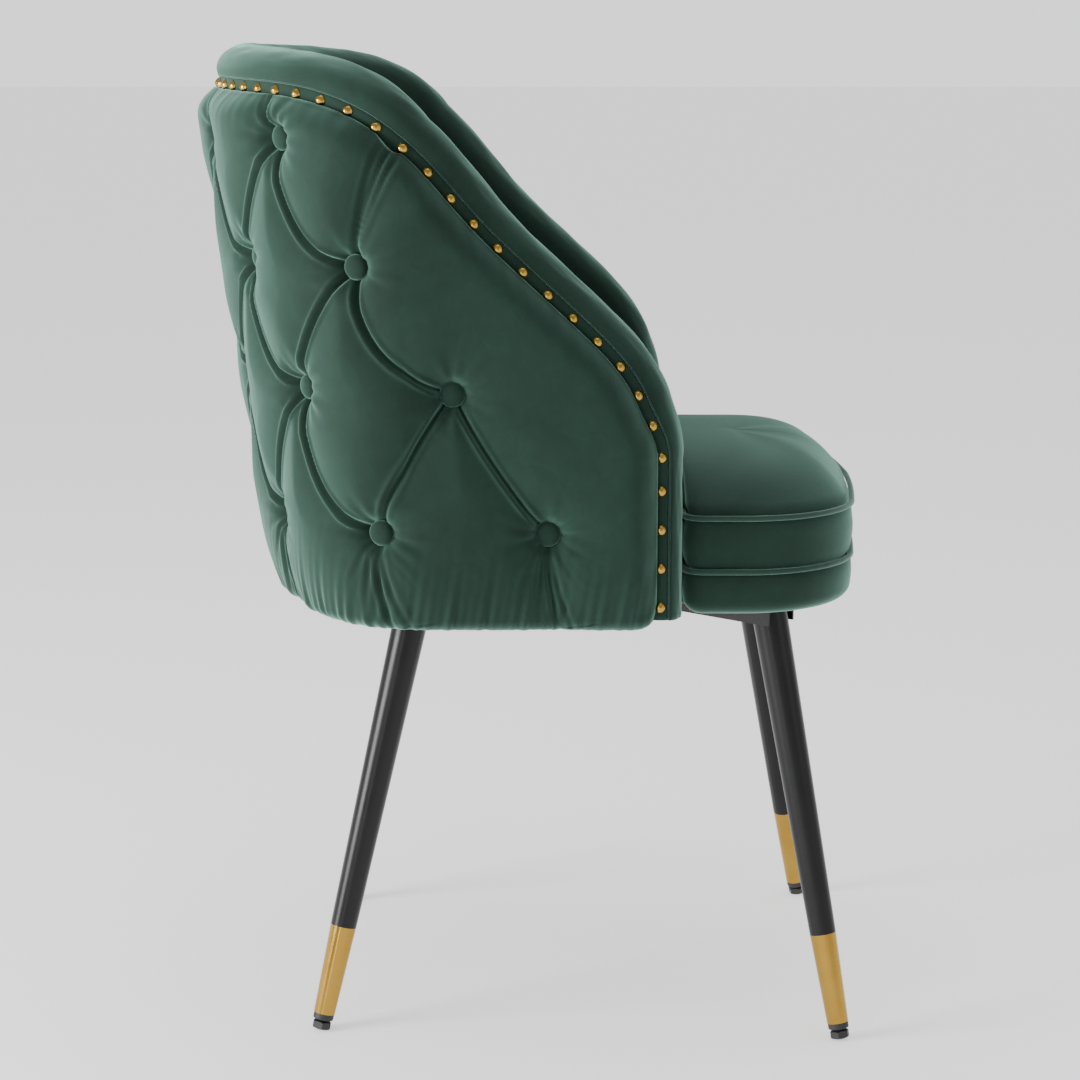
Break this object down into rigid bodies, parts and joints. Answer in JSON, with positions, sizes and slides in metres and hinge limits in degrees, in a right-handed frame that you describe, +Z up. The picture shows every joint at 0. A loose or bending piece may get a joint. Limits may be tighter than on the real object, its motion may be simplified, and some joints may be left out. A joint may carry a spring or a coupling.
{
  "type": "dining chair",
  "caption": "Barrel-back dining chair: deep-buttoned velvet back with nailhead rim, T-shaped piped seat, crossed steel rails, splayed tapered legs with ferrules and levelling feet.",
  "frame": {"origin": "on the floor, midway between the sides and between the seat front and the back of the outer pad", "axes": "+X to the sitter's left, +Y to the rear, +Z up"},
  "size_m": [0.539, 0.5837, 0.8592],
  "materials": {
    "velvet": "deep green cotton velvet",
    "velvet_piping": "green velvet cut on the bias over cord",
    "antique_gold": "polished antique gold nailheads",
    "polished_gold": "polished gold plate",
    "black_steel": "satin black powder coat",
    "zinc_steel": "zinc plated",
    "black_plastic": "matt black nylon",
    "plywood": "raw plywood",
    "dust_cloth": "black non-woven cloth"
  },
  "bodies": {
    "chair": {"seat_board": "plywood", "seat_band": "velvet", "seat_cushion": "velvet", "piping_upper": "velvet_piping", "piping_lower": "velvet_piping", "dust_cover": "dust_cloth", "back_shell": "plywood", "outer_back_pad": "velvet", "inner_back_pad": "velvet", "rim_band": "velvet", "rim_welt": "velvet_piping", "nailheads": "antique_gold", "tuft_buttons": "velvet", "rail_long": "black_steel", "rail_half_left": "black_steel", "rail_half_right": "black_steel", "rail_screws": "zinc_steel", "back_screws": "zinc_steel", "leg_plates": "black_steel", "leg_studs": "zinc_steel", "leg_inserts": "zinc_steel", "leg_front_left": "black_steel", "ferrule_front_left": "polished_gold", "plug_front_left": "black_plastic", "leg_front_right": "black_steel", "ferrule_front_right": "polished_gold", "plug_front_right": "black_plastic", "leg_rear_left": "black_steel", "ferrule_rear_left": "polished_gold", "plug_rear_left": "black_plastic", "leg_rear_right": "black_steel", "ferrule_rear_right": "polished_gold", "plug_rear_right": "black_plastic"},
    "level_stem_front_left": {"stem_front_left": "zinc_steel"},
    "level_pad_front_left": {"pad_front_left": "black_plastic"},
    "level_stem_front_right": {"stem_front_right": "zinc_steel"},
    "level_pad_front_right": {"pad_front_right": "black_plastic"},
    "level_stem_rear_left": {"stem_rear_left": "zinc_steel"},
    "level_pad_rear_left": {"pad_rear_left": "black_plastic"},
    "level_stem_rear_right": {"stem_rear_right": "zinc_steel"},
    "level_pad_rear_right": {"pad_rear_right": "black_plastic"}
  },
  "joints": [
    {"name": "level_slide_front_left", "type": "slide", "parent": "chair", "child": "level_stem_front_left", "axis": [0.1547, -0.1673, -0.9737], "range_m": [0, 0.008]},
    {"name": "level_turn_front_left", "type": "hinge", "parent": "level_stem_front_left", "child": "level_pad_front_left", "pos_m": [0.2035, -0.2745, 0], "axis": [0.1547, -0.1673, -0.9737], "range_deg": [0, 2304]},
    {"name": "level_slide_front_right", "type": "slide", "parent": "chair", "child": "level_stem_front_right", "axis": [-0.1547, -0.1673, -0.9737], "range_m": [0, 0.008]},
    {"name": "level_turn_front_right", "type": "hinge", "parent": "level_stem_front_right", "child": "level_pad_front_right", "pos_m": [-0.2035, -0.2745, 0], "axis": [-0.1547, -0.1673, -0.9737], "range_deg": [0, 2304]},
    {"name": "level_slide_rear_left", "type": "slide", "parent": "chair", "child": "level_stem_rear_left", "axis": [0.152, 0.2156, -0.9646], "range_m": [0, 0.008]},
    {"name": "level_turn_rear_left", "type": "hinge", "parent": "level_stem_rear_left", "child": "level_pad_rear_left", "pos_m": [0.182, 0.1865, 0], "axis": [0.152, 0.2156, -0.9646], "range_deg": [0, 2304]},
    {"name": "level_slide_rear_right", "type": "slide", "parent": "chair", "child": "level_stem_rear_right", "axis": [-0.152, 0.2156, -0.9646], "range_m": [0, 0.008]},
    {"name": "level_turn_rear_right", "type": "hinge", "parent": "level_stem_rear_right", "child": "level_pad_rear_right", "pos_m": [-0.182, 0.1865, 0], "axis": [-0.152, 0.2156, -0.9646], "range_deg": [0, 2304]}
  ],
  "couplings": [
    {"joint": "level_turn_front_left", "follows": "level_slide_front_left", "rad_per_m": 5026.5},
    {"joint": "level_turn_front_right", "follows": "level_slide_front_right", "rad_per_m": 5026.5},
    {"joint": "level_turn_rear_left", "follows": "level_slide_rear_left", "rad_per_m": 5026.5},
    {"joint": "level_turn_rear_right", "follows": "level_slide_rear_right", "rad_per_m": 5026.5}
  ]
}
